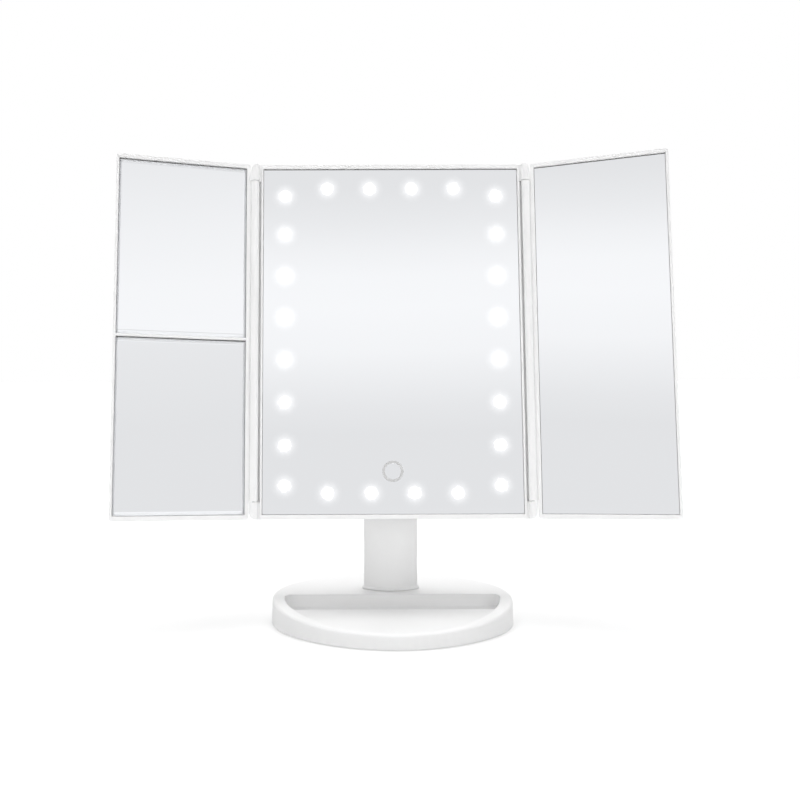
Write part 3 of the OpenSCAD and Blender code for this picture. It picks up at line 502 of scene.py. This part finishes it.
def add_coil(shape, foot, axis, side, radii, length, turns, wire_r):
    """A spring wound round an axis, in millimetres: its radius runs from radii[0] to radii[1]."""
    around = axis.cross(side)
    round_steps, wire_steps = 24, 8
    rings = []
    for k in range(turns * round_steps + 1):
        share = k / (turns * round_steps)
        turn = radians(360 / round_steps * k)
        out = side * cos(turn) + around * sin(turn)
        middle = foot + (axis * (wire_r + (length - 2 * wire_r) * share)
                         + out * (radii[0] + (radii[1] - radii[0]) * share)) * MM
        rings.append([])
        for j in range(wire_steps):
            angle = radians(360 / wire_steps * j)
            rings[k].append(shape.verts.new(middle + (out * cos(angle) + axis * sin(angle)) * (wire_r * MM)))
    for before, after in zip(rings, rings[1:]):
        for j in range(wire_steps):
            shape.faces.new((before[j - 1], before[j], after[j], after[j - 1])).smooth = True
    shape.faces.new(rings[0])
    shape.faces.new(rings[-1])


def finish_piece(shape, name, material, body, node):
    """Turns the drawn shape into an object that stands in for a CAD node."""
    bmesh.ops.recalc_face_normals(shape, faces=shape.faces)
    mesh = bpy.data.meshes.new(name)
    shape.to_mesh(mesh)
    shape.free()
    mesh.materials.append(material)
    piece = bpy.data.objects.new(name, mesh)
    bpy.context.scene.collection.objects.link(piece)
    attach(piece, body)
    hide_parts(node)


electrode = bmesh.new()
add_coil(electrode, head_point(0, PAD_BACK_MM, RING_MM[0]), back_axis, across_axis, ELECTRODE_MM,
         BOARD_FRONT_MM - PAD_BACK_MM, COIL_TURNS, ELECTRODE_WIRE_MM)
finish_piece(electrode, "touch_electrode_coil", bright_steel, "head", "touch_spring")

BOARD_BACK_MM = 6.5
CONNECTOR_MM = 41.0
CONTROL_WEAVE_PER_MM = 3.0
CONTROL_TRACKS_PER_MM = 0.9
green_board, wire = new_material("green_circuit_board")
place = head_place(wire)
_, depth, z = parts(place)
weave = noise(wire, place, CONTROL_WEAVE_PER_MM)
mask = weave.mix((0.012, 0.1, 0.045), (0.02, 0.13, 0.06))
lacquer = circuit_tracks(wire, place, CONTROL_TRACKS_PER_MM).mix((0.03, 0.2, 0.09), mask)
raised = depth.rise(BOARD_BACK_MM, BOARD_BACK_MM + 0.1)
connector = z.rise(CONNECTOR_MM, CONNECTOR_MM + 0.1)
skin(wire, Base_Color=raised.mix(lacquer, connector.mix(grey(0.03), (0.8, 0.78, 0.7))),
     Roughness=0.3 + weave * 0.25)
dress(green_board, "control_board")

# ---------------------------------------------------------------- rear housing
# One moulding closes the head: a flat plate, the hump of the battery bay, and the two lugs of the tilt joint.
# It is screwed to the frame from behind. The ribbed battery cover slides up and off.
dress(lit_gloss_white, "rear_housing", "battery_door")

# ---------------------------------------------------------------- cells
# Four cells stand head to tail. Each has a printed sleeve with a band near its positive end, and bare metal
# at both ends.
CELL_PITCH_MM = 14.7
BAY_FOOT_MM = 95.0
BAY_L_MM = 54.6
# Heights on a cell above its flat end: the sleeve's two ends, and where its pale line and its band begin
SLEEVE_MM = (4.1, 52.2)
LINE_MM = 37.6
BAND_MM = 38.4
SHARP_MM = 0.1
dark_ink = ((0.02, 0.05, 0.08), (0.03, 0.07, 0.1))
band_ink = ((0.5, 0.3, 0.12), (0.6, 0.38, 0.17))
INK_PER_MM = 1.2
sleeve, wire = new_material("cell_sleeve")
place = head_place(wire)
x, _, z = parts(place)
turned = x.maths("MODULO", x.maths("FLOOR", x / CELL_PITCH_MM + 2), 2)
run = turned * BAY_L_MM + (z - BAY_FOOT_MM) * (1 - turned * 2)
ink = noise(wire, place, INK_PER_MM)
past_foot, past_line, past_band, past_head = [run.rise(at, at + SHARP_MM)
                                              for at in (SLEEVE_MM[0], LINE_MM, BAND_MM, SLEEVE_MM[1])]
printed = past_band.mix(ink.mix(*dark_ink), ink.mix(*band_ink))
printed = (past_line * (1 - past_band)).mix(printed, grey(0.8))
bare = 1 - past_foot + past_head
skin(wire, Base_Color=bare.mix(printed, (0.66, 0.66, 0.64)), Metallic=bare, Roughness=0.26 + ink * 0.1)
dress(sleeve, "batteries")

# Contacts: square plates of nickel-plated spring steel at both ends of each cell. The one at the flat end
# carries a coil that narrows towards the cell, the other a pressed dimple for the cell's tip.
CELL_DEPTH_MM = 12.75
CONTACT_MM = (10.0, 0.4)
CONTACT_CORNER_MM = 1.2
CONTACT_COIL_MM = (4.3, 2.4)
CONTACT_COIL_L_MM = 3.2
CONTACT_WIRE_MM = 0.28
DIMPLE_MM = (2.6, 1.6, 0.08)
contacts = bmesh.new()
for cell in range(4):
    cell_x = (cell - 1.5) * CELL_PITCH_MM
    turned_over = cell % 2 == 1
    for at_coil in (True, False):
        at_top = turned_over == at_coil
        inward = -up_axis if at_top else up_axis
        seat = head_point(cell_x, CELL_DEPTH_MM, BAY_FOOT_MM + (BAY_L_MM if at_top else 0))
        plate = bmesh.ops.create_cube(contacts, size=MM)["verts"]
        turn = Matrix((across_axis, back_axis, up_axis)).transposed().to_4x4()
        grow = Matrix.Diagonal((CONTACT_MM[0], CONTACT_MM[0], CONTACT_MM[1], 1))
        bmesh.ops.transform(contacts, verts=plate,
                            matrix=Matrix.Translation(seat + inward * (CONTACT_MM[1] / 2 * MM)) @ turn @ grow)
        upright = [edge for edge in {edge for vert in plate for edge in vert.link_edges}
                   if abs((edge.verts[0].co - edge.verts[1].co).normalized().dot(up_axis)) > 0.9]
        bmesh.ops.bevel(contacts, geom=upright, offset=CONTACT_CORNER_MM * MM, segments=4, affect="EDGES")
        if at_coil:
            add_coil(contacts, seat + inward * (CONTACT_MM[1] * MM), inward, across_axis, CONTACT_COIL_MM,
                     CONTACT_COIL_L_MM, COIL_TURNS, CONTACT_WIRE_MM)
        else:
            foot_r, head_r, rise = (length * MM for length in DIMPLE_MM)
            dimple = bmesh.ops.create_cone(contacts, cap_ends=True, segments=32,
                                           radius1=foot_r, radius2=head_r, depth=rise)["verts"]
            aim = Vector((0, 0, 1)).rotation_difference(inward).to_matrix().to_4x4()
            bmesh.ops.transform(contacts, verts=dimple, matrix=Matrix.Translation(
                seat + inward * (CONTACT_MM[1] * MM + rise / 2)) @ aim)
finish_piece(contacts, "battery_contact_plates", bright_steel, "head", "battery_contacts")

# ---------------------------------------------------------------- switch and charging socket
# Both sit in the strip under the bay and open to its sides: a slide switch with a black knob on the left, and
# a steel charging socket on the right.
SMALL_FLOW_PER_M = 300.0
SMALL_EROSION_PER_M = 3000.0
SMALL_EROSION_DEPTH = 0.00006
black_abs, wire = new_material("black_abs")
place = wire.node("ShaderNodeTexCoord", out="Object")
flow = noise(wire, place, SMALL_FLOW_PER_M, 3.0)
erosion = noise(wire, place, SMALL_EROSION_PER_M)
skin(wire, Base_Color=flow.ramp((0.3, grey(0.028)), (0.7, grey(0.05))), Roughness=0.42 + flow * 0.16,
     Normal=bump(wire, erosion, SMALL_EROSION_DEPTH, 0.25))
dress(black_abs, "switch_body", "power_switch")
dress(zinc, "charging_socket")

# ---------------------------------------------------------------- hinge pins
# Ground steel pins, pressed into the knuckles of the centre frame. The panels' barrels turn on them.
ground_steel = plated_steel("ground_steel", (0.66, 0.66, 0.67), 0.16)
dress(ground_steel, "hinge_pins_left", "hinge_pins_right")

# ---------------------------------------------------------------- left panel
# A shallow tray with a bar across it holds the two magnifying panes, and a cover closes its back. The panes
# are slumped to a shallow dish and silvered; their corners stay level with the flat panes.
dress(lit_gloss_white, "left_frame", "left_back")
dress(foam, "left_tape")
UPPER_DISH_R = 2.06
LOWER_DISH_R = 1.69
DISH_STEPS = 40


def pane_spans(node):
    """A side pane's axes (out, up, facing), and from where to where it reaches along each."""
    mesh = frame["nodes"][node].data
    back = max((face for face in mesh.polygons if face.normal.y > 0.5), key=lambda face: face.area)
    facing = -back.normal
    axes = (up_axis.cross(facing).normalized(), up_axis, facing)
    return axes, [[choose(vertex.co.dot(axis) for vertex in mesh.vertices) for choose in (min, max)]
                  for axis in axes]


def side_pane(node):
    """Silvered glass with a dark line along its top: its cut edge, and painted shadow and reflection of the
    frame's lip.
    """
    material, wire = new_material("silvered_glass_" + node)
    axes, spans = pane_spans(node)
    middle = sum(((low + high) / 2 * axis for axis, (low, high) in zip(axes, spans)), Vector())
    turn = Matrix((axes[0], -axes[2], axes[1])).transposed().to_euler()
    place = wire.node("ShaderNodeMapping", {"vector_type": "TEXTURE"}, {
        "Vector": wire.node("ShaderNodeTexCoord", out="Object"), "Location": middle, "Rotation": turn,
        "Scale": (MM, MM, MM)})
    haze = noise(wire, place, HAZE_PER_MM, 3.0)
    # The dark line along the top is partly the cut edge, partly painted shadow and reflection of the lip
    # above.
    edge = cut_edge_and_lip_shadow(parts(place)[2], (spans[1][1] - spans[1][0]) / 2 / MM)
    skin(wire, Base_Color=edge.mix(SILVER, EDGE_AND_SHADOW_GREY), Metallic=1 - edge, Roughness=CLEAREST + haze * HAZIER)
    return material


def dished_pane(node, radius):
    """A pane with a smooth round hollow of this radius in its front, in the place of the faceted CAD pane."""
    (out, _, facing), spans = pane_spans(node)
    middle = [(low + high) / 2 for low, high in spans]
    half_w, half_h = [(high - low) / 2 for low, high in spans[:2]]
    back_level, front_level = spans[2]
    steps = DISH_STEPS
    shape = bmesh.new()
    grid = []
    for i in range(steps + 1):
        a = (2 * i / steps - 1) * half_w
        grid.append([])
        for j in range(steps + 1):
            b = (2 * j / steps - 1) * half_h
            sag = (half_w ** 2 + half_h ** 2 - a * a - b * b) / (2 * radius)
            grid[i].append(shape.verts.new(out * (middle[0] + a) + up_axis * (middle[1] + b)
                                           + facing * (front_level - sag)))
    for i in range(steps):
        for j in range(steps):
            shape.faces.new((grid[i][j], grid[i + 1][j], grid[i + 1][j + 1], grid[i][j + 1])).smooth = True
    rim = [grid[i][0] for i in range(steps)] + [grid[steps][j] for j in range(steps)]
    rim += [grid[i][steps] for i in range(steps, 0, -1)] + [grid[0][j] for j in range(steps, 0, -1)]
    foot = [shape.verts.new(vertex.co + facing * (back_level - vertex.co.dot(facing))) for vertex in rim]
    for k in range(len(rim)):
        shape.faces.new((rim[k - 1], foot[k - 1], foot[k], rim[k]))
    shape.faces.new(foot)
    finish_piece(shape, node + "_dished", side_pane(node), "left_wing", node)


dished_pane("left_mirror_upper", UPPER_DISH_R)
dished_pane("left_mirror_lower", LOWER_DISH_R)

# ---------------------------------------------------------------- right panel
# The same tray and cover, without the bar, round one flat pane.
dress(lit_gloss_white, "right_frame", "right_back")
dress(foam, "right_tape")
dress(side_pane("right_mirror"), "right_mirror")
